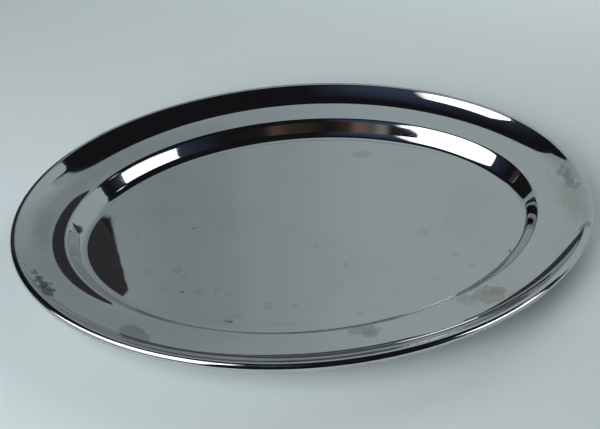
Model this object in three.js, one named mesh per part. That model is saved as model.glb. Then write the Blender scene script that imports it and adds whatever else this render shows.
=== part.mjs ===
// Oval serving tray: one blank of stainless sheet, pressed into a flat-bottomed
// well with a wide dished flange, its edge rolled under into a hollow bead.
// Millimetres, +Z up. The origin is the middle of the base, on the surface that
// the tray stands on; X runs along the oval, Y across it.
import * as THREE from "three";

const degrees = THREE.MathUtils.degToRad;

// Overall size, measured over the rolled bead.
const trayLength = 450;
const trayWidth = 322;

// The sheet and its section, from the well outwards. Radii and widths are those
// of the upper face; slopes are measured from level, rising outwards.
const sheetThickness = 0.8;
const wellDepth = 13;
const coveRadius = 8.8;
const wallSlope = degrees(52.9);
const shoulderRadius = 4;
const shoulderSlope = degrees(1.4);
const innerFlangeWidth = 17.3;
const flangeFoldSlope = degrees(20.3);
const outerFlangeWidth = 14.7;
const lipSlope = degrees(43.6);
const beadRadius = 3.1;
const curlTurn = degrees(285);

// How finely each curve is stepped.
const stepsRound = 72;
const arcSteps = { cove: 4, shoulder: 4, innerFlange: 2, outerFlange: 3, bead: 15 };

// The section's upper face as a run of points, each with the sheet's slope there.
// It starts at the well's edge, x = 0, and every stretch carries on from the last.
function upperFace() {
  const points = [{ x: 0, z: sheetThickness, slope: 0 }];

  // An arc from the present slope to another one; a positive radius curves upwards.
  function arc(radius, endSlope, steps) {
    const start = points.at(-1);
    for (let i = 1; i <= steps; i++) {
      const slope = THREE.MathUtils.lerp(start.slope, endSlope, i / steps);
      points.push({
        x: start.x + radius * (Math.sin(slope) - Math.sin(start.slope)),
        z: start.z - radius * (Math.cos(slope) - Math.cos(start.slope)),
        slope,
      });
    }
  }

  // An upward arc that covers a given width between two slopes.
  function dishedArc(width, endSlope, steps) {
    const startSlope = points.at(-1).slope;
    arc(width / (Math.sin(endSlope) - Math.sin(startSlope)), endSlope, steps);
  }

  // The wall is the straight stretch that the two bends leave of the well's depth.
  const bendRise = (coveRadius + shoulderRadius) * (1 - Math.cos(wallSlope));
  const wallLength = (wellDepth - bendRise) / Math.sin(wallSlope);

  arc(coveRadius, wallSlope, arcSteps.cove);
  const wallFoot = points.at(-1);
  points.push({
    x: wallFoot.x + wallLength * Math.cos(wallSlope),
    z: wallFoot.z + wallLength * Math.sin(wallSlope),
    slope: wallSlope,
  });
  arc(-shoulderRadius, shoulderSlope, arcSteps.shoulder);
  dishedArc(innerFlangeWidth, flangeFoldSlope, arcSteps.innerFlange);
  dishedArc(outerFlangeWidth, lipSlope, arcSteps.outerFlange);
  arc(-beadRadius, lipSlope - curlTurn, arcSteps.bead);
  return points;
}

// The section's lower face is the upper one moved through the sheet's thickness.
function lowerFace(upper) {
  return upper.map(({ x, z, slope }) => ({
    x: x + sheetThickness * Math.sin(slope),
    z: z - sheetThickness * Math.cos(slope),
    slope,
  }));
}

// One ring of the tray: the outline's ellipse moved inwards by the same distance
// all round, so every stretch of the section keeps its width.
function ring(inset, height) {
  const points = [];
  for (let i = 0; i < stepsRound; i++) {
    const turn = (2 * Math.PI * i) / stepsRound;
    const edge = new THREE.Vector2(trayLength / 2 * Math.cos(turn), trayWidth / 2 * Math.sin(turn));
    const inward = new THREE.Vector2(-Math.cos(turn) / trayLength, -Math.sin(turn) / trayWidth).normalize();
    edge.addScaledVector(inward, inset);
    points.push(new THREE.Vector3(edge.x, edge.y, height));
  }
  return points;
}

// The whole sheet as one closed skin: out over the upper face, round the end of
// the curl and back along the lower face, closed in the middle of the well.
function traySheet() {
  const upper = upperFace();
  const lower = lowerFace(upper);
  const outermost = Math.max(...upper.map((point) => point.x));
  const rings = [...upper, ...lower.reverse()].map(({ x, z }) => ring(outermost - x, z));
  const vertices = rings.flat();
  const topCentre = vertices.push(new THREE.Vector3(0, 0, sheetThickness)) - 1;
  const baseCentre = vertices.push(new THREE.Vector3(0, 0, 0)) - 1;

  const faces = [];
  for (let i = 0; i < stepsRound; i++) {
    const next = (i + 1) % stepsRound;
    for (let r = 0; r + 1 < rings.length; r++) {
      const inner = r * stepsRound;
      const outer = inner + stepsRound;
      faces.push(inner + i, outer + i, outer + next);
      faces.push(inner + i, outer + next, inner + next);
    }
    const last = (rings.length - 1) * stepsRound;
    faces.push(topCentre, i, next);
    faces.push(baseCentre, last + next, last + i);
  }

  const geometry = new THREE.BufferGeometry().setFromPoints(vertices);
  geometry.setIndex(faces);
  geometry.computeVertexNormals();
  return geometry;
}

const polishedSteel = new THREE.MeshStandardMaterial({ color: 0xb4b6b6, roughness: 0.1, metalness: 1 });

const pressedSheet = new THREE.Mesh(traySheet(), polishedSteel);
pressedSheet.name = "pressed_sheet";

const servingTray = new THREE.Group();
servingTray.add(pressedSheet);

export default servingTray;
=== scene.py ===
# Oval serving tray in polished stainless sheet, on a pale studio sweep.
# Metres, Z up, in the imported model's own frame: origin under the middle of the tray.
import bpy
import math
import numpy as np
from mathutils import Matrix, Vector


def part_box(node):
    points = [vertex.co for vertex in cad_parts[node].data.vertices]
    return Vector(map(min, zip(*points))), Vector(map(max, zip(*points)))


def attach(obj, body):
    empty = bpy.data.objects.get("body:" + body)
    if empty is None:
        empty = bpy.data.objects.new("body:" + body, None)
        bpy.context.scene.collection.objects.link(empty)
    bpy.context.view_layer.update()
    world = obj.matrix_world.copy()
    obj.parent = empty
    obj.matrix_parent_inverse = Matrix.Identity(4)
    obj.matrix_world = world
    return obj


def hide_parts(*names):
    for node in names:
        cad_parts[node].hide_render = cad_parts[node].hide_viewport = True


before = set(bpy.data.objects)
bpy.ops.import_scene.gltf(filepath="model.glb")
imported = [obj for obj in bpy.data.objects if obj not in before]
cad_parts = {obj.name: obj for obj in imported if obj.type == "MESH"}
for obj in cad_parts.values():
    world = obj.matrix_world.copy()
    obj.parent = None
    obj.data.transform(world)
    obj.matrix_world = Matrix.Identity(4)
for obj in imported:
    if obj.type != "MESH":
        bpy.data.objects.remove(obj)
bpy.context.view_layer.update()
print("frame loaded:", sorted(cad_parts))

cameraValues = {
    "aimAt": (-0.0041, 0.011, 0.0008),  # a point on the well's floor
    "distance": 0.6718,
    "lookDown": 42.24,                  # degrees below level
    "turned": 9.56,                     # degrees round from the tray's front, towards its left end
    "lens": 49.98,
    "sensor": 36.0,
}


def makeCamera(values):
    # The camera stands back from the aim point along its own line of sight.
    down = math.radians(values["lookDown"])
    turn = math.radians(values["turned"])
    sight = Vector((math.sin(turn) * math.cos(down), math.cos(turn) * math.cos(down), -math.sin(down)))
    data = bpy.data.cameras.new("studioCamera")
    data.lens = values["lens"]
    data.sensor_width = values["sensor"]
    camera = bpy.data.objects.new("studioCamera", data)
    camera.location = Vector(values["aimAt"]) - values["distance"] * sight
    camera.rotation_euler = sight.to_track_quat("-Z", "Y").to_euler()
    bpy.context.scene.collection.objects.link(camera)
    bpy.context.scene.camera = camera


def seenFrom(right, away, up):
    # A studio place given as the camera operator sees it, turned into the tray's frame.
    turn = math.radians(cameraValues["turned"])
    x = math.cos(turn) * right + math.sin(turn) * away
    y = -math.sin(turn) * right + math.cos(turn) * away
    return Vector((x + cameraValues["aimAt"][0], y + cameraValues["aimAt"][1], up))


makeCamera(cameraValues)
print("camera placed")


sheetValues = {
    "thickness": 0.0008,
    "wellDepth": 0.013,
    "coveRadius": 0.0088,
    "wallSlope": 52.9,        # slopes in degrees from level, rising outwards
    "shoulderRadius": 0.004,
    "shoulderSlope": 1.4,
    "innerFlange": 0.0173,
    "foldSlope": 20.3,
    "outerFlange": 0.0147,
    "lipSlope": 43.6,
    "beadRadius": 0.0031,
    "curlTurn": 285.0,
    "around": 384,            # steps round the oval
    "wellRings": 22,
    "steps": {"cove": 12, "wall": 5, "shoulder": 10, "innerFlange": 12, "outerFlange": 14, "bead": 44},
    "ripple": 0.000015,       # how far the rolled sheet is out of true
    "rippleStart": 0.008,     # the rim's width that stays quite true
    "rippleFade": 0.045,      # the width over which the waves then grow
    "waveLift": 2.4,          # keeps the summed waves above zero
    # Each wave: strength, waves' pace along X and along Y in radians per metre, shift.
    "waves": ((1.0, 31, 17, 0.4), (0.8, -23, 41, 1.9), (0.6, 57, 29, 4.1)),
}


def bend(start, radius, endSlope, steps):
    # Arc carried on from a point: reach moves by radius times the change in the sine of
    # the slope, height by radius times the drop in its cosine.
    reach, height, slope = start
    slopes = np.linspace(slope, endSlope, steps + 1)[1:]
    return np.column_stack([
        reach + radius * (np.sin(slopes) - np.sin(slope)),
        height - radius * (np.cos(slopes) - np.cos(slope)),
        slopes,
    ])


def straight(start, length, steps):
    # Straight stretch: reach and height grow with the cosine and sine of one slope.
    reach, height, slope = start
    along = np.linspace(0, length, steps + 1)[1:]
    return np.column_stack([
        reach + along * np.cos(slope),
        height + along * np.sin(slope),
        np.full(steps, slope),
    ])


def upperSection(values):
    # The upper face from the well's edge to the end of the curl, one stretch after another.
    turns = ("wallSlope", "shoulderSlope", "foldSlope", "lipSlope", "curlTurn")
    slope = {name: math.radians(values[name]) for name in turns}
    steps = values["steps"]
    rise = (values["coveRadius"] + values["shoulderRadius"]) * (1 - math.cos(slope["wallSlope"]))
    wall = (values["wellDepth"] - rise) / math.sin(slope["wallSlope"])
    inner = values["innerFlange"] / (math.sin(slope["foldSlope"]) - math.sin(slope["shoulderSlope"]))
    outer = values["outerFlange"] / (math.sin(slope["lipSlope"]) - math.sin(slope["foldSlope"]))
    section = np.array([[0.0, values["thickness"], 0.0]])
    for stretch in (
        lambda end: bend(end, values["coveRadius"], slope["wallSlope"], steps["cove"]),
        lambda end: straight(end, wall, steps["wall"]),
        lambda end: bend(end, -values["shoulderRadius"], slope["shoulderSlope"], steps["shoulder"]),
        lambda end: bend(end, inner, slope["foldSlope"], steps["innerFlange"]),
        lambda end: bend(end, outer, slope["lipSlope"], steps["outerFlange"]),
        lambda end: bend(end, -values["beadRadius"], slope["lipSlope"] - slope["curlTurn"], steps["bead"]),
    ):
        section = np.vstack([section, stretch(section[-1])])
    return section


def sheetRows(values):
    # Rows of the skin from the middle of the well outwards, round the curl and back below.
    # Each row has a distance in from the rim, a height and a share of the full oval.
    upper = upperSection(values)
    below = np.column_stack([np.sin(upper[:, 2]), -np.cos(upper[:, 2]), 0 * upper[:, 2]])
    lower = upper + values["thickness"] * below
    outermost = upper[:, 0].max()
    share = np.linspace(0, 1, values["wellRings"] + 1)[1:-1]
    inset = np.full(len(share), outermost)
    wellTop = np.column_stack([inset, np.full(len(share), values["thickness"]), share])
    wellBase = np.column_stack([inset, np.zeros(len(share)), share])
    topRows = np.column_stack([outermost - upper[:, 0], upper[:, 1], np.ones(len(upper))])
    lowRows = np.column_stack([outermost - lower[:, 0], lower[:, 1], np.ones(len(lower))])
    return np.vstack([wellTop, topRows]), np.vstack([lowRows[::-1], wellBase[::-1]])


def ripple(x, y, inset, values):
    # Slow waves of the rolled sheet: three crossed sine waves lifted clear of zero, fading
    # out over the flange so that the bead stays true.
    waves = values["waveLift"]
    for strength, paceX, paceY, shift in values["waves"]:
        waves = waves + strength * np.sin(paceX * x + paceY * y + shift)
    fade = np.clip((inset - values["rippleStart"]) / values["rippleFade"], 0, 1) ** 2
    return values["ripple"] * waves * fade


def carryRound(rows, corners, values):
    # Every row is the rim's ellipse moved inwards along its own normal, then drawn in by its
    # share. Heights are scaled so that the highest row is as high as the box.
    low, high = corners
    halfLength = (high.x - low.x) / 2
    halfWidth = (high.y - low.y) / 2
    turn = np.linspace(0, 2 * np.pi, values["around"], endpoint=False)
    cosine, sine = np.cos(turn), np.sin(turn)
    normal = np.stack([cosine / halfLength, sine / halfWidth])
    normal = normal / np.hypot(*normal)
    inset, height, share = rows.T
    height = height * (high.z - low.z) / height.max()
    x = share[:, None] * (halfLength * cosine - inset[:, None] * normal[0])
    y = share[:, None] * (halfWidth * sine - inset[:, None] * normal[1])
    z = height[:, None] + ripple(x, y, inset[:, None], values)
    return np.stack([x, y, z], axis=-1)


def makeSheet(name, node, values):
    # One closed skin: a grid of rows and turns, closed by a fan of triangles at the two
    # middles of the well.
    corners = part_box(node)
    top, below = sheetRows(values)
    grid = carryRound(np.vstack([top, below]), corners, values)
    rowCount, around = grid.shape[:2]
    points = grid.reshape(-1, 3)
    middles = np.array([[0, 0, values["thickness"]], [0, 0, 0]])
    middles[:, 2] += ripple(0.0, 0.0, top[0, 0], values)
    points = np.vstack([points, middles])

    place = np.arange(rowCount * around).reshape(rowCount, around)
    beside = np.roll(place, -1, axis=1)
    quads = np.stack([place[:-1], place[1:], beside[1:], beside[:-1]], axis=-1).reshape(-1, 4)
    topFan = np.column_stack([np.full(around, len(points) - 2), place[0], beside[0]])
    baseFan = np.column_stack([np.full(around, len(points) - 1), beside[-1], place[-1]])

    mesh = bpy.data.meshes.new(name)
    mesh.from_pydata(points.tolist(), [], quads.tolist() + topFan.tolist() + baseFan.tolist())
    mesh.polygons.foreach_set("use_smooth", np.ones(len(mesh.polygons), dtype=bool))
    underside = np.zeros(len(mesh.polygons), dtype=np.int32)
    underside[len(top) * around:len(quads)] = 1
    underside[len(quads) + around:] = 1
    mesh.polygons.foreach_set("material_index", underside)

    # Rim map: u runs round the oval and v across the section, both in metres.
    girth = np.pi * (corners[1].x + corners[1].y)
    reach = np.concatenate([[0], np.cumsum(np.linalg.norm(np.diff(grid[:, 0], axis=0), axis=1))])
    u = np.arange(around + 1) / around * girth
    corner = np.stack([
        np.stack(np.broadcast_arrays(u[None, :-1], reach[:-1, None]), -1),
        np.stack(np.broadcast_arrays(u[None, :-1], reach[1:, None]), -1),
        np.stack(np.broadcast_arrays(u[None, 1:], reach[1:, None]), -1),
        np.stack(np.broadcast_arrays(u[None, 1:], reach[:-1, None]), -1),
    ], axis=2).reshape(-1, 2)
    rest = np.zeros((6 * around, 2))
    rimMap = mesh.uv_layers.new(name="rimMap")
    rimMap.data.foreach_set("uv", np.vstack([corner, rest]).astype(np.float32).ravel())

    piece = bpy.data.objects.new(name, mesh)
    bpy.context.scene.collection.objects.link(piece)
    return piece


tray = makeSheet("traySheet", "pressed_sheet", sheetValues)
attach(tray, "root")
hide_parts("pressed_sheet")
print("sheet made:", len(tray.data.polygons), "faces")


def newGroup(name, inputs, outputs):
    # An empty shader group with named sockets, and its two end nodes.
    group = bpy.data.node_groups.new(name, "ShaderNodeTree")
    for label, kind, value in inputs:
        socket = group.interface.new_socket(name=label, in_out="INPUT", socket_type=kind)
        if value is not None:
            socket.default_value = value
    for label, kind in outputs:
        group.interface.new_socket(name=label, in_out="OUTPUT", socket_type=kind)
    return group, group.nodes.new("NodeGroupInput"), group.nodes.new("NodeGroupOutput")


def addNode(tree, kind, links=(), **settings):
    # One node with its settings, its input values and its links: links maps an input to
    # an output socket or to a plain value.
    node = tree.nodes.new(kind)
    for key, value in settings.items():
        setattr(node, key, value)
    for key, value in dict(links).items():
        if isinstance(value, bpy.types.NodeSocket):
            tree.links.new(value, node.inputs[key])
        else:
            node.inputs[key].default_value = value
    return node


def mathNode(tree, operation, first, second=0.0, third=0.0, clamp=False):
    # One sum on up to three values.
    node = addNode(tree, "ShaderNodeMath", {0: first, 1: second, 2: third},
                   operation=operation, use_clamp=clamp)
    return node.outputs[0]


def rampNode(tree, value, low, high, toLow=0.0, toHigh=1.0):
    # Smooth step of a value between two limits.
    node = addNode(tree, "ShaderNodeMapRange", {"Value": value, "From Min": low, "From Max": high,
                                                "To Min": toLow, "To Max": toHigh},
                   interpolation_type="SMOOTHSTEP")
    return node.outputs["Result"]


def wipeScratchGroup():
    # Fine wiping scratches: noise drawn out long in one direction, kept only where it peaks.
    tree, given, result = newGroup("wipeScratches", [
        ("Vector", "NodeSocketVector", None), ("Angle", "NodeSocketFloat", 0.0),
        ("Length", "NodeSocketFloat", 40.0), ("Fineness", "NodeSocketFloat", 2600.0),
        ("Threshold", "NodeSocketFloat", 0.64)], [("Mask", "NodeSocketFloat")])
    stretch = addNode(tree, "ShaderNodeCombineXYZ", {"X": given.outputs["Length"],
                                                     "Y": given.outputs["Fineness"],
                                                     "Z": given.outputs["Length"]})
    drift = addNode(tree, "ShaderNodeTexNoise", {"Vector": given.outputs["Vector"], "Scale": 9.0,
                                                 "Detail": 1.0})
    bowed = addNode(tree, "ShaderNodeVectorMath", {0: drift.outputs["Color"], 1: (0.5, 0.5, 0.5)},
                    operation="SUBTRACT")
    nudge = addNode(tree, "ShaderNodeVectorMath", {0: bowed.outputs[0], "Scale": 0.03}, operation="SCALE")
    moved = addNode(tree, "ShaderNodeVectorMath", {0: given.outputs["Vector"], 1: nudge.outputs[0]},
                    operation="ADD")
    turned = addNode(tree, "ShaderNodeVectorRotate", {"Vector": moved.outputs[0],
                                                      "Angle": given.outputs["Angle"]},
                     rotation_type="Z_AXIS")
    drawn = addNode(tree, "ShaderNodeVectorMath", {0: turned.outputs[0], 1: stretch.outputs[0]},
                    operation="MULTIPLY")
    grain = addNode(tree, "ShaderNodeTexNoise", {"Vector": drawn.outputs[0], "Scale": 1.0, "Detail": 2.0,
                                                 "Roughness": 0.6})
    high = mathNode(tree, "ADD", given.outputs["Threshold"], 0.06)
    mask = rampNode(tree, grain.outputs["Fac"], given.outputs["Threshold"], high)
    tree.links.new(mask, result.inputs["Mask"])
    return tree


def driedDropGroup():
    # One dried drop: a disc that darkens towards its edge, where the water dried last, laid
    # over the drops before it by taking the darker of the two.
    tree, given, result = newGroup("driedDrop", [
        ("Vector", "NodeSocketVector", None), ("Middle", "NodeSocketVector", None),
        ("Radius", "NodeSocketFloat", 0.0025), ("Before", "NodeSocketFloat", 0.0)],
        [("Marks", "NodeSocketFloat")])
    offset = addNode(tree, "ShaderNodeVectorMath", {0: given.outputs["Vector"], 1: given.outputs["Middle"]},
                     operation="SUBTRACT")
    level = addNode(tree, "ShaderNodeVectorMath", {0: offset.outputs[0], 1: (1.0, 1.0, 0.0)},
                    operation="MULTIPLY")
    away = addNode(tree, "ShaderNodeVectorMath", {0: level.outputs[0]}, operation="LENGTH")
    ratio = mathNode(tree, "DIVIDE", away.outputs["Value"], given.outputs["Radius"])
    inside = rampNode(tree, ratio, 1.15, 0.9)
    depth = rampNode(tree, ratio, 0.45, 0.95, 0.3, 1.0)
    ring = mathNode(tree, "MULTIPLY", inside, depth)
    tree.links.new(mathNode(tree, "MAXIMUM", ring, given.outputs["Before"]), result.inputs["Marks"])
    return tree


def stainGroup():
    # One stain: the distance from its middle as a share of its two half sizes, turned to lie
    # along its own length and made ragged by noise, and a smooth step at its edge.
    tree, given, result = newGroup("driedStain", [
        ("Vector", "NodeSocketVector", None), ("Middle", "NodeSocketVector", None),
        ("Size", "NodeSocketVector", None), ("Turned", "NodeSocketFloat", 0.0),
        ("Ragged", "NodeSocketFloat", 0.5), ("Softness", "NodeSocketFloat", 0.3)],
        [("Mask", "NodeSocketFloat")])
    ragged = addNode(tree, "ShaderNodeTexNoise", {"Vector": given.outputs["Vector"], "Scale": 190.0,
                                                  "Detail": 4.0, "Roughness": 0.62})
    turned = addNode(tree, "ShaderNodeVectorRotate", {"Vector": given.outputs["Vector"],
                                                      "Center": given.outputs["Middle"],
                                                      "Angle": given.outputs["Turned"]},
                     rotation_type="Z_AXIS")
    offset = addNode(tree, "ShaderNodeVectorMath", {0: turned.outputs[0], 1: given.outputs["Middle"]},
                     operation="SUBTRACT")
    shares = addNode(tree, "ShaderNodeVectorMath", {0: offset.outputs[0], 1: given.outputs["Size"]},
                     operation="DIVIDE")
    away = addNode(tree, "ShaderNodeVectorMath", {0: shares.outputs[0]}, operation="LENGTH")
    centred = mathNode(tree, "SUBTRACT", ragged.outputs["Fac"], 0.5)
    rough = mathNode(tree, "MULTIPLY", centred, given.outputs["Ragged"])
    reach = mathNode(tree, "MULTIPLY_ADD", rough, 2.0, away.outputs["Value"])
    inner = mathNode(tree, "SUBTRACT", 1.0, given.outputs["Softness"])
    tree.links.new(rampNode(tree, reach, 1.0, inner), result.inputs["Mask"])
    return tree


def handlingGroup():
    # Smears of handling and half-wiped water: two sizes of soft noise multiplied together.
    tree, given, result = newGroup("handlingHaze", [
        ("Vector", "NodeSocketVector", None), ("Scale", "NodeSocketFloat", 14.0),
        ("Cover", "NodeSocketFloat", 0.5)], [("Mask", "NodeSocketFloat")])
    broad = addNode(tree, "ShaderNodeTexNoise", {"Vector": given.outputs["Vector"],
                                                 "Scale": given.outputs["Scale"],
                                                 "Detail": 3.0, "Distortion": 0.6})
    fineScale = mathNode(tree, "MULTIPLY", given.outputs["Scale"], 9.0)
    fine = addNode(tree, "ShaderNodeTexNoise", {"Vector": given.outputs["Vector"], "Scale": fineScale,
                                                "Detail": 3.0})
    high = mathNode(tree, "ADD", given.outputs["Cover"], 0.25)
    patch = rampNode(tree, broad.outputs["Fac"], given.outputs["Cover"], high)
    speckle = rampNode(tree, fine.outputs["Fac"], 0.3, 0.7, 0.45, 1.0)
    tree.links.new(mathNode(tree, "MULTIPLY", patch, speckle), result.inputs["Mask"])
    return tree


def rimWearGroup():
    # Wear on the bead: strong above a height, broken up by noise, where trays are stacked
    # and slid.
    tree, given, result = newGroup("rimWear", [
        ("Vector", "NodeSocketVector", None), ("Height", "NodeSocketFloat", 0.026),
        ("Spread", "NodeSocketFloat", 0.001)], [("Mask", "NodeSocketFloat")])
    parts = addNode(tree, "ShaderNodeSeparateXYZ", {"Vector": given.outputs["Vector"]})
    low = mathNode(tree, "SUBTRACT", given.outputs["Height"], given.outputs["Spread"])
    crown = rampNode(tree, parts.outputs["Z"], low, given.outputs["Height"])
    nicks = addNode(tree, "ShaderNodeTexNoise", {"Vector": given.outputs["Vector"], "Scale": 260.0,
                                                 "Detail": 4.0, "Roughness": 0.7})
    tree.links.new(mathNode(tree, "MULTIPLY", crown, rampNode(tree, nicks.outputs["Fac"], 0.48, 0.68)),
                   result.inputs["Mask"])
    return tree


groups = {
    "scratches": wipeScratchGroup(),
    "drop": driedDropGroup(),
    "stain": stainGroup(),
    "haze": handlingGroup(),
    "wear": rimWearGroup(),
}


def placeGroup(tree, name, **values):
    # One use of a shader group, with its inputs linked or set.
    node = tree.nodes.new("ShaderNodeGroup")
    node.node_tree = groups[name]
    for key, value in values.items():
        if isinstance(value, bpy.types.NodeSocket):
            tree.links.new(value, node.inputs[key])
        else:
            node.inputs[key].default_value = value
    return node


steelValues = {
    "steel": (0.63, 0.628, 0.62),
    "roughness": 0.035,
    "scratchAngles": (0.35, 1.25, 2.3),
    "scratchThresholds": (0.72, 0.73, 0.72),
    "scratchRough": 0.03,
    "hazeRough": 0.035,
    "hazeScale": 12.0,
    "hazeCover": 0.46,
    "hazeTint": 0.16,
    "dropRough": 0.03,
    "dropRise": 0.5,          # a drop's height beside a scratch's depth
    "wearTint": 0.2,
    "wearColour": (0.75, 0.75, 0.75),
    "wearRough": 0.08,
    "bump": 0.12,
    "bumpDistance": 0.00002,
}

# Stains and smudges: "size" is half sizes in metres, "turned" is in radians and "rough" is added
# to the steel's own roughness.
tan = (0.41, 0.37, 0.31)
greenTan = (0.36, 0.375, 0.33)
violetGrey = (0.36, 0.35, 0.39)
dark = (0.12, 0.12, 0.13)
stainValues = [
    {"middle": (0.0165, -0.1255, 0.013), "size": (0.0145, 0.0055, 0.01), "turned": 0.1, "ragged": 1.1,
     "softness": 0.35, "colour": greenTan, "strength": 0.6, "rough": 0.04},
    {"middle": (0.020, -0.1295, 0.013), "size": (0.0075, 0.0055, 0.01), "turned": 0.1, "ragged": 1.2,
     "softness": 0.4, "colour": greenTan, "strength": 0.5, "rough": 0.03},
    {"middle": (0.1125, -0.1105, 0.015), "size": (0.0145, 0.0105, 0.012), "turned": 0.3, "ragged": 0.8,
     "softness": 0.25, "colour": tan, "strength": 0.6, "rough": 0.05},
    {"middle": (0.1165, -0.107, 0.015), "size": (0.0085, 0.0065, 0.012), "turned": 0.6, "ragged": 1.6,
     "softness": 0.5, "colour": tan, "strength": 0.6, "rough": 0.03},
    {"middle": (0.0945, -0.1105, 0.014), "size": (0.0085, 0.0065, 0.01), "turned": 0.2, "ragged": 0.9,
     "softness": 0.3, "colour": violetGrey, "strength": 0.4, "rough": 0.04},
    {"middle": (-0.1365, -0.108, 0.017), "size": (0.0095, 0.0145, 0.012), "turned": -0.5, "ragged": 0.35,
     "softness": 0.2, "colour": violetGrey, "strength": 0.7, "rough": 0.04},
    {"middle": (-0.2, -0.0505, 0.021), "size": (0.0055, 0.018, 0.012), "turned": -0.5, "ragged": 1.7,
     "softness": 0.6, "colour": dark, "strength": 0.85, "rough": 0.06},
    {"middle": (-0.1955, -0.0585, 0.021), "size": (0.005, 0.0075, 0.012), "turned": -0.5, "ragged": 1.0,
     "softness": 0.7, "colour": dark, "strength": 0.7, "rough": 0.05},
    {"middle": (0.213, -0.003, 0.0215), "size": (0.0045, 0.022, 0.012), "turned": 0.0, "ragged": 1.5,
     "softness": 0.7, "colour": dark, "strength": 0.45, "rough": 0.06},
    {"middle": (0.2, -0.0645, 0.02), "size": (0.0095, 0.0045, 0.012), "turned": -0.3, "ragged": 1.5,
     "softness": 0.7, "colour": dark, "strength": 0.5, "rough": 0.06},
    {"middle": (0.207, -0.03, 0.02), "size": (0.014, 0.058, 0.016), "turned": 0.05, "ragged": 0.7,
     "softness": 0.9, "colour": tan, "strength": 0.45, "rough": 0.03},
    {"middle": (-0.203, 0.012, 0.02), "size": (0.012, 0.036, 0.016), "turned": 0.0, "ragged": 0.7,
     "softness": 0.9, "colour": tan, "strength": 0.35, "rough": 0.03},
    {"middle": (0.0625, 0.08, 0.0), "size": (0.011, 0.0065, 0.01), "turned": 0.1, "ragged": 0.9,
     "softness": 0.5, "colour": greenTan, "strength": 0.35, "rough": 0.02},
    {"middle": (-0.177, 0.018, 0.0075), "size": (0.0032, 0.0036, 0.008), "turned": 0.4, "ragged": 1.8,
     "softness": 0.4, "colour": dark, "strength": 0.9, "rough": 0.05},
    {"middle": (0.148, -0.058, 0.001), "size": (0.0014, 0.0014, 0.01), "turned": 0.0, "ragged": 0.6,
     "softness": 0.5, "colour": dark, "strength": 0.9, "rough": 0.03},
    {"middle": (-0.0895, 0.009, 0.001), "size": (0.0032, 0.0009, 0.01), "turned": -0.5, "ragged": 0.8,
     "softness": 0.6, "colour": dark, "strength": 0.8, "rough": 0.03},
    {"middle": (-0.103, -0.058, 0.001), "size": (0.0028, 0.0009, 0.01), "turned": -0.4, "ragged": 0.8,
     "softness": 0.6, "colour": dark, "strength": 0.7, "rough": 0.03},
]
# Dried drops: place on the tray and radius, in metres.
dropValues = {
    "strength": 0.42,
    "wobble": 0.0012,
    "drops": (
        (-0.105, -0.035, 0.003), (-0.116, -0.053, 0.0024), (-0.128, -0.033, 0.0022), (-0.134, 0.006, 0.002),
        (-0.101, -0.043, 0.0018), (-0.092, -0.06, 0.0026), (-0.078, -0.061, 0.0024), (-0.069, -0.065, 0.0018),
        (-0.066, -0.087, 0.0024), (-0.043, -0.082, 0.0032), (-0.024, -0.085, 0.0022), (0.021, -0.05, 0.0018),
        (0.002, -0.028, 0.0018), (0.021, -0.1, 0.0024), (0.088, -0.026, 0.0036), (0.106, -0.053, 0.0028),
        (0.115, -0.067, 0.0024), (0.084, -0.076, 0.0022), (-0.047, 0.075, 0.002), (-0.012, -0.003, 0.0016),
    ),
}


def blendColour(tree, factor, first, second):
    # The first colour where the factor is 0, the second where it is 1.
    node = tree.nodes.new("ShaderNodeMix")
    node.data_type = "RGBA"
    tree.links.new(factor, node.inputs[0])
    for socket, value in ((node.inputs[6], first), (node.inputs[7], second)):
        if isinstance(value, bpy.types.NodeSocket):
            tree.links.new(value, socket)
        else:
            socket.default_value = (*value, 1.0)
    return node.outputs[2]


def droppedWater(tree, place, drops):
    # All drops share one unsteady place, so that no edge is a true circle.
    noise = addNode(tree, "ShaderNodeTexNoise", {"Vector": place, "Scale": 420.0, "Detail": 1.0})
    centred = addNode(tree, "ShaderNodeVectorMath", {0: noise.outputs["Color"], 1: (0.5, 0.5, 0.5)},
                      operation="SUBTRACT")
    nudge = addNode(tree, "ShaderNodeVectorMath", {0: centred.outputs[0], "Scale": dropValues["wobble"]},
                    operation="SCALE")
    moved = addNode(tree, "ShaderNodeVectorMath", {0: place, 1: nudge.outputs[0]}, operation="ADD")
    marks = 0.0
    for x, y, radius in drops:
        marks = placeGroup(tree, "drop", Vector=moved.outputs[0], Middle=(x, y, 0.0), Radius=radius,
                           Before=marks).outputs["Marks"]
    return marks


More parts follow.
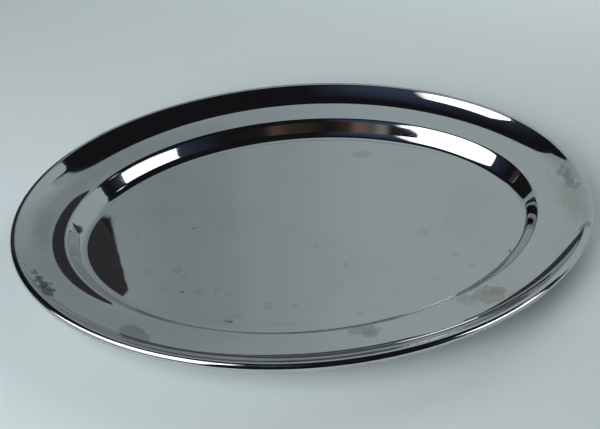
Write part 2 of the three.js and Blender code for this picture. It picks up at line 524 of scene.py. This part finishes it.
def steelMaterial(name, values, stains, drops):
    # Polished steel: scratches and drops raise the roughness and a fine bump, stains and
    # wear tint the metal.
    material = bpy.data.materials.new(name)
    material.use_nodes = True
    tree = material.node_tree
    tree.nodes.clear()
    output = tree.nodes.new("ShaderNodeOutputMaterial")
    shader = addNode(tree, "ShaderNodeBsdfPrincipled", {"Metallic": 1.0, "IOR": 2.5})
    tree.links.new(shader.outputs["BSDF"], output.inputs["Surface"])
    place = tree.nodes.new("ShaderNodeTexCoord").outputs["Object"]

    scratches = None
    for angle, threshold in zip(values["scratchAngles"], values["scratchThresholds"]):
        layer = placeGroup(tree, "scratches", Vector=place, Angle=angle, Threshold=threshold).outputs["Mask"]
        scratches = layer if scratches is None else mathNode(tree, "MAXIMUM", scratches, layer)
    haze = placeGroup(tree, "haze", Vector=place, Scale=values["hazeScale"],
                      Cover=values["hazeCover"]).outputs["Mask"]
    marks = droppedWater(tree, place, drops)
    wear = placeGroup(tree, "wear", Vector=place).outputs["Mask"]

    tint = mathNode(tree, "MULTIPLY", marks, dropValues["strength"])
    colour = blendColour(tree, tint, values["steel"], violetGrey)
    tint = mathNode(tree, "MULTIPLY", haze, values["hazeTint"])
    colour = blendColour(tree, tint, colour, greenTan)
    tint = mathNode(tree, "MULTIPLY", wear, values["wearTint"])
    colour = blendColour(tree, tint, colour, values["wearColour"])
    rough = mathNode(tree, "MULTIPLY_ADD", scratches, values["scratchRough"], values["roughness"])
    rough = mathNode(tree, "MULTIPLY_ADD", haze, values["hazeRough"], rough)
    rough = mathNode(tree, "MULTIPLY_ADD", marks, values["dropRough"], rough)
    rough = mathNode(tree, "MULTIPLY_ADD", wear, values["wearRough"], rough)
    for stain in stains:
        laid = placeGroup(tree, "stain", Vector=place, Middle=stain["middle"], Size=stain["size"],
                          Turned=stain["turned"], Ragged=stain["ragged"], Softness=stain["softness"])
        mask = laid.outputs["Mask"]
        tint = mathNode(tree, "MULTIPLY", mask, stain["strength"])
        colour = blendColour(tree, tint, colour, stain["colour"])
        rough = mathNode(tree, "MULTIPLY_ADD", mask, stain["rough"], rough)
    tree.links.new(colour, shader.inputs["Base Color"])
    tree.links.new(rough, shader.inputs["Roughness"])

    cut = mathNode(tree, "MULTIPLY", scratches, -1.0)
    height = mathNode(tree, "MULTIPLY_ADD", marks, values["dropRise"], cut)
    bump = addNode(tree, "ShaderNodeBump", {"Height": height, "Strength": values["bump"],
                                            "Distance": values["bumpDistance"]})
    tree.links.new(bump.outputs["Normal"], shader.inputs["Normal"])
    return material


undersideValues = dict(steelValues, steel=(0.58, 0.578, 0.57), roughness=0.16, scratchRough=0.14,
                       hazeRough=0.1, scratchThresholds=(0.6, 0.62, 0.63), bump=0.4)
tray.data.materials.append(steelMaterial("polishedFace", steelValues, stainValues, dropValues["drops"]))
tray.data.materials.append(steelMaterial("satinUnderside", undersideValues, [], ()))
print("steel made:", len(stainValues), "stains")


studioValues = {
    "floorSize": 14.0,
    "floorColour": (0.63, 0.71, 0.73),
    "floorRough": 0.85,
    "floorShine": 0.1,
    "daylight": (0.06, 0.06, 0.062),    # the even light that the room gives the floor
    "horizon": (0.44, 0.50, 0.52),      # what the camera sees past the floor's edge
    "lampsReach": 0.62,                 # the floor goes over to the horizon's even light from here
    "evenFrom": 1.2,
    "roomDark": (0.0095, 0.0095, 0.0115),  # the unlit room, as polished steel sees it
}


def emitMaterial(name, colour, strength):
    # A card that gives its own light and takes none.
    material = bpy.data.materials.new(name)
    material.use_nodes = True
    tree = material.node_tree
    tree.nodes.clear()
    output = tree.nodes.new("ShaderNodeOutputMaterial")
    glow = addNode(tree, "ShaderNodeEmission", {"Color": (*colour, 1.0), "Strength": strength})
    tree.links.new(glow.outputs[0], output.inputs["Surface"])
    return material, tree, glow


def acrossColour(tree, stops, span):
    # A colour that changes along the card's length: stops are pairs of studio place and colour.
    low, high = span
    place = tree.nodes.new("ShaderNodeTexCoord").outputs["UV"]
    along = addNode(tree, "ShaderNodeSeparateXYZ", {"Vector": place}).outputs["X"]
    ramp = addNode(tree, "ShaderNodeValToRGB", {"Fac": along})
    ramp.color_ramp.interpolation = "EASE"
    elements = ramp.color_ramp.elements
    while len(elements) < len(stops):
        elements.new(0.5)
    for element, (where, colour) in zip(elements, stops):
        element.position = (where - low) / (high - low)
        element.color = (*colour, 1.0)
    return ramp.outputs["Color"]


def stageCard(name, outline, material):
    # A flat card in the studio, seen only in the steel's reflections. The map of a card with
    # four corners is the unit square. Any other card's map is each corner's share of the way
    # across and up the card.
    corners = np.array([tuple(seenFrom(*place)) for place in outline])
    mesh = bpy.data.meshes.new(name)
    mesh.from_pydata(corners.tolist(), [], [tuple(range(len(outline)))])
    rights = np.array([place[0] for place in outline])
    rightShare = (rights - rights.min()) / (rights.max() - rights.min())
    ups = np.array([place[2] for place in outline])
    upShare = (ups - ups.min()) / (ups.max() - ups.min())
    cardMap = np.column_stack([rightShare, upShare])
    if len(outline) == 4:
        cardMap = np.array([(0.0, 0.0), (1.0, 0.0), (1.0, 1.0), (0.0, 1.0)])
    mesh.uv_layers.new(name="card").data.foreach_set("uv", cardMap.ravel())
    mesh.materials.append(material)
    card = bpy.data.objects.new(name, mesh)
    bpy.context.scene.collection.objects.link(card)
    for flag in ("visible_camera", "visible_diffuse", "visible_shadow", "visible_transmission"):
        setattr(card, flag, False)


def makeFloor(values):
    # A pale floor lit by the lamps near the tray. A smooth step of the distance from the
    # middle takes it over to the horizon's own even light.
    half = values["floorSize"] / 2
    mesh = bpy.data.meshes.new("floor")
    corners = [(-half, -half, 0), (half, -half, 0), (half, half, 0), (-half, half, 0)]
    mesh.from_pydata(corners, [], [(0, 1, 2, 3)])
    material = bpy.data.materials.new("paleSweep")
    material.use_nodes = True
    tree = material.node_tree
    shader = tree.nodes["Principled BSDF"]
    shader.inputs["Roughness"].default_value = values["floorRough"]
    shader.inputs["Specular IOR Level"].default_value = values["floorShine"]
    shader.inputs["Emission Color"].default_value = (*values["horizon"], 1.0)
    away = addNode(tree, "ShaderNodeVectorMath", {0: tree.nodes.new("ShaderNodeTexCoord").outputs["Object"]},
                   operation="LENGTH").outputs["Value"]
    even = rampNode(tree, away, values["lampsReach"], values["evenFrom"])
    tree.links.new(even, shader.inputs["Emission Strength"])
    colour = blendColour(tree, even, values["floorColour"], (0.0, 0.0, 0.0))
    tree.links.new(colour, shader.inputs["Base Color"])
    mesh.materials.append(material)
    floor = bpy.data.objects.new("floor", mesh)
    bpy.context.scene.collection.objects.link(floor)


def makeWorld(values):
    # The steel sees a dark room, the camera a pale horizon and everything else an even daylight.
    world = bpy.data.worlds.new("studioWorld")
    bpy.context.scene.world = world
    world.use_nodes = True
    tree = world.node_tree
    tree.nodes.clear()
    output = tree.nodes.new("ShaderNodeOutputWorld")
    path = tree.nodes.new("ShaderNodeLightPath")
    day = addNode(tree, "ShaderNodeBackground", {"Color": (*values["daylight"], 1.0), "Strength": 1.0})
    room = addNode(tree, "ShaderNodeBackground", {"Color": (*values["roomDark"], 1.0), "Strength": 1.0})
    horizon = addNode(tree, "ShaderNodeBackground", {"Color": (*values["horizon"], 1.0), "Strength": 1.0})
    mix = addNode(tree, "ShaderNodeMixShader", {0: path.outputs["Is Glossy Ray"]})
    tree.links.new(day.outputs[0], mix.inputs[1])
    tree.links.new(room.outputs[0], mix.inputs[2])
    seen = addNode(tree, "ShaderNodeMixShader", {0: path.outputs["Is Camera Ray"]})
    tree.links.new(mix.outputs[0], seen.inputs[1])
    tree.links.new(horizon.outputs[0], seen.inputs[2])
    tree.links.new(seen.outputs[0], output.inputs["Surface"])


# The cards. Places are (right, away, up) in metres as the camera operator sees them.
backdropValues = {
    "away": 0.2475,
    "span": (-0.1, 4.2),
    "topEdge": ((4.2, 1.95), (1.8, 1.25), (0.4, 0.71), (0.25, 0.62), (0.19, 0.56), (0.14, 0.43),
                (-0.1, 0.422)),
    "stops": (
        (-0.1, (0.2705, 0.3214, 0.3366)),
        (-0.05, (0.315, 0.372, 0.39)),
        (0.1, (0.385, 0.452, 0.472)),
        (0.4, (0.40, 0.468, 0.485)),
        (4.2, (0.44, 0.505, 0.525)),
    ),
}
softboxValues = {
    "leftBox": {"outline": ((-0.22, -1.48, 0.34), (-1.36, -0.33, 0.28), (-0.423, 0.021, 1.354),
                            (-0.175, -0.235, 1.376)),
                "strength": 2.6, "dimUpTo": (0.25, 0.55), "footUpTo": (0.15, 0.36)},
    "rightBox": {"outline": ((1.02, -0.227, 0.1), (0.665, -0.519, 0.1), (0.616, -0.476, 0.627),
                             (0.971, -0.183, 0.632)),
                 "strength": 2.6, "dimUpTo": (-0.3, -0.1), "footUpTo": (0.1, 0.6)},
    "doorLamp": {"outline": ((1.0, 0.03, 0.8), (1.0, -0.06, 0.8), (1.0, -0.06, 1.0), (1.0, 0.03, 1.0)),
                 "strength": 1.6, "dimUpTo": (-0.3, -0.1), "footUpTo": (-0.3, -0.1)},
}
# The backdrop's left part turns away from the tray as far as the paper's edge.
turnedPaperValues = {
    "outline": ((-0.279, 0.411, 0.0), (-0.1, 0.2475, 0.0), (-0.1, 0.2475, 0.422), (-0.279, 0.411, 0.72)),
    "span": (-0.279, -0.1),
    "stops": (
        (-0.279, (0.285, 0.34, 0.352)),
        (-0.16, (0.255, 0.304, 0.318)),
        (-0.1, (0.2705, 0.3214, 0.3366)),
    ),
}
# A second sheet hangs behind the first one's middle. A dark stand hides the turned part's far
# end, and a low sheet leans in front of it. Outlines are (right, up) at one distance away.
uprightValues = {
    "hangingPaper": {"away": 0.32, "colour": (0.30, 0.355, 0.37),
                     "outline": ((-0.1, 0.3), (0.25, 0.3), (0.25, 0.72), (0.198, 0.715), (0.04, 0.63),
                                 (-0.1, 0.545))},
    "darkStand": {"away": 0.15, "colour": (0.035, 0.034, 0.039),
                  "outline": ((-0.5, 0.0), (-0.206, 0.0), (-0.206, 0.15), (-0.2035, 0.163), (-0.2, 0.175),
                              (-0.199, 0.18), (-0.1993, 0.19), (-0.1982, 0.2), (-0.1986, 0.21),
                              (-0.1974, 0.22), (-0.1979, 0.235), (-0.1966, 0.245), (-0.197, 0.266),
                              (-0.5, 0.266))},
    "lowPaper": {"away": 0.149, "colour": (0.29, 0.345, 0.357),
                 "outline": ((-0.237, 0.0), (-0.198, 0.0), (-0.198, 0.121), (-0.232, 0.169),
                             (-0.237, 0.172))},
    "footShadow": {"away": 0.2465, "colour": (0.035, 0.038, 0.043),
                   "outline": ((-0.13, 0.0), (0.1, 0.0), (0.09, 0.035), (0.075, 0.06), (-0.02, 0.06),
                               (-0.06, 0.042), (-0.13, 0.015))},
    "sideShadow": {"away": 0.2465, "colour": (0.035, 0.038, 0.043),
                   "outline": ((0.115, 0.0), (0.165, 0.0), (0.163, 0.03), (0.158, 0.085), (0.15, 0.08),
                               (0.125, 0.045), (0.115, 0.05))},
}
# What stands below the camera: dark clothes with a few warm and pale patches.
benchValues = {
    "away": -0.35,
    "span": (-0.135, 0.30),
    "top": 0.395,
    "fadeUpTo": (0.8, 0.9),          # shares of the height between which the shapes come in
    "stops": (
        (-0.135, (0.012, 0.013, 0.016)),
        (-0.06, (0.02, 0.022, 0.026)),
        (-0.034, (0.20, 0.205, 0.21)),
        (-0.012, (0.10, 0.095, 0.09)),
        (0.012, (0.16, 0.115, 0.095)),
        (0.035, (0.045, 0.025, 0.02)),
        (0.06, (0.015, 0.012, 0.012)),
        (0.12, (0.04, 0.03, 0.026)),
        (0.15, (0.09, 0.055, 0.045)),
        (0.175, (0.012, 0.012, 0.014)),
    ),
}


def makeBackdrop(values):
    # The big paper behind the tray, its upper edge sloping with the studio's width.
    low, high = values["span"]
    away = values["away"]
    outline = [(low, away, 0.0), (high, away, 0.0)] + [(right, away, up) for right, up in values["topEdge"]]
    material, tree, glow = emitMaterial("backdropPaper", (1.0, 1.0, 1.0), 1.0)
    tree.links.new(acrossColour(tree, values["stops"], values["span"]), glow.inputs["Color"])
    stageCard("backdrop", outline, material)


def makeTurnedPaper(values):
    # The part of that paper that turns away.
    material, tree, glow = emitMaterial("turnedPaper", (1.0, 1.0, 1.0), 1.0)
    tree.links.new(acrossColour(tree, values["stops"], values["span"]), glow.inputs["Color"])
    stageCard("turnedPaper", values["outline"], material)


def makeUpright(name, values):
    # An upright sheet that faces the camera.
    material, tree, glow = emitMaterial(name, values["colour"], 1.0)
    stageCard(name, [(right, values["away"], up) for right, up in values["outline"]], material)


def makeBench(values):
    # Upright shapes below the camera. A smooth step up the card takes the dark room's colour
    # over to theirs.
    low, high = values["span"]
    away = values["away"]
    outline = [(low, away, 0.0), (high, away, 0.0), (high, away, values["top"]), (low, away, values["top"])]
    material, tree, glow = emitMaterial("benchShapes", (1.0, 1.0, 1.0), 1.0)
    shapes = acrossColour(tree, values["stops"], values["span"])
    place = tree.nodes.new("ShaderNodeTexCoord").outputs["UV"]
    parts = addNode(tree, "ShaderNodeSeparateXYZ", {"Vector": place})
    upper = rampNode(tree, parts.outputs["Y"], *values["fadeUpTo"])
    tree.links.new(blendColour(tree, upper, studioValues["roomDark"], shapes), glow.inputs["Color"])
    stageCard("benchShapes", outline, material)


# What the softboxes' cloths share.
clothValues = {
    "lit": (0.97, 0.99, 1.0),
    "dim": (0.02, 0.03, 0.05),
    "lean": 0.35,                    # how much a place's height counts beside its width
    "foot": 0.3,                     # the foot's share of the full light
}


def makeSoftbox(name, values, cloth):
    # The cloth is dim towards its first corner and its foot: one smooth step of the map's
    # width plus a share of its height, times another of its height alone.
    material, tree, glow = emitMaterial(name + "Cloth", cloth["lit"], values["strength"])
    place = tree.nodes.new("ShaderNodeTexCoord").outputs["UV"]
    parts = addNode(tree, "ShaderNodeSeparateXYZ", {"Vector": place})
    reach = mathNode(tree, "MULTIPLY_ADD", parts.outputs["Y"], cloth["lean"], parts.outputs["X"])
    lit = rampNode(tree, reach, *values["dimUpTo"])
    tree.links.new(blendColour(tree, lit, cloth["dim"], cloth["lit"]), glow.inputs["Color"])
    foot = rampNode(tree, parts.outputs["Y"], *values["footUpTo"], cloth["foot"], 1.0)
    tree.links.new(mathNode(tree, "MULTIPLY", foot, values["strength"]), glow.inputs["Strength"])
    stageCard(name, values["outline"], material)


# The blue painted walls behind the softboxes, lit near them and dark further off.
wallGlowValues = {
    "grow": 2.0,                     # how much larger than its softbox each lit patch is
    "further": 1.08,
    "colour": (0.045, 0.068, 0.12),
    "spread": 0.8,                   # how slowly the light falls off towards the patch's edges
}


def makeWallGlow(name, outline, values):
    # The softbox's outline drawn larger about its middle and pushed away from the tray. The
    # light across it is the product of two arches, one per side, so that it dies at every edge.
    places = np.array(outline)
    middle = places.mean(axis=0)
    larger = (middle + (places - middle) * values["grow"]) * values["further"]
    material, tree, glow = emitMaterial(name + "Glow", (1.0, 1.0, 1.0), 1.0)
    place = tree.nodes.new("ShaderNodeTexCoord").outputs["UV"]
    parts = addNode(tree, "ShaderNodeSeparateXYZ", {"Vector": place})
    arches = []
    for side in ("X", "Y"):
        rest = mathNode(tree, "SUBTRACT", 1.0, parts.outputs[side])
        arches.append(mathNode(tree, "MULTIPLY", mathNode(tree, "MULTIPLY", parts.outputs[side], rest), 4.0))
    both = mathNode(tree, "MAXIMUM", mathNode(tree, "MULTIPLY", arches[0], arches[1]), 0.0)
    fade = mathNode(tree, "POWER", both, 1.0 / values["spread"], clamp=True)
    tree.links.new(blendColour(tree, fade, studioValues["roomDark"], values["colour"]), glow.inputs["Color"])
    stageCard(name + "Glow", larger.tolist(), material)


# Lamps that light the floor and the tray's shadow and stay out of the reflections.
lampValues = {
    "backLamp": {"at": (0.545, 0.94, 0.51), "size": 0.8, "watts": 8.0, "colour": (0.985, 1.0, 1.0)},
    "frontLamp": {"at": (-0.545, -0.94, 0.51), "size": 0.8, "watts": 9.1, "colour": (0.97, 1.0, 0.985)},
    "sideLamp": {"at": (-0.68, -0.5, 0.85), "size": 0.8, "watts": 6.0, "colour": (0.97, 0.985, 1.0)},
}


def makeLamp(name, values):
    # A square lamp aimed at the tray's middle.
    data = bpy.data.lights.new(name, "AREA")
    data.shape = "SQUARE"
    data.size = values["size"]
    data.energy = values["watts"]
    data.color = values["colour"]
    lamp = bpy.data.objects.new(name, data)
    lamp.location = seenFrom(*values["at"])
    lamp.rotation_euler = (-lamp.location).to_track_quat("-Z", "Y").to_euler()
    lamp.visible_glossy = False
    lamp.visible_camera = False
    bpy.context.scene.collection.objects.link(lamp)


makeFloor(studioValues)
makeWorld(studioValues)
makeBackdrop(backdropValues)
makeTurnedPaper(turnedPaperValues)
for uprightName, uprightShape in uprightValues.items():
    makeUpright(uprightName, uprightShape)
makeBench(benchValues)
for boxName, boxValues in softboxValues.items():
    makeSoftbox(boxName, boxValues, clothValues)
    makeWallGlow(boxName, boxValues["outline"], wallGlowValues)
for lampName, lampSettings in lampValues.items():
    makeLamp(lampName, lampSettings)
bpy.context.scene.view_settings.view_transform = "Standard"
print("studio made")
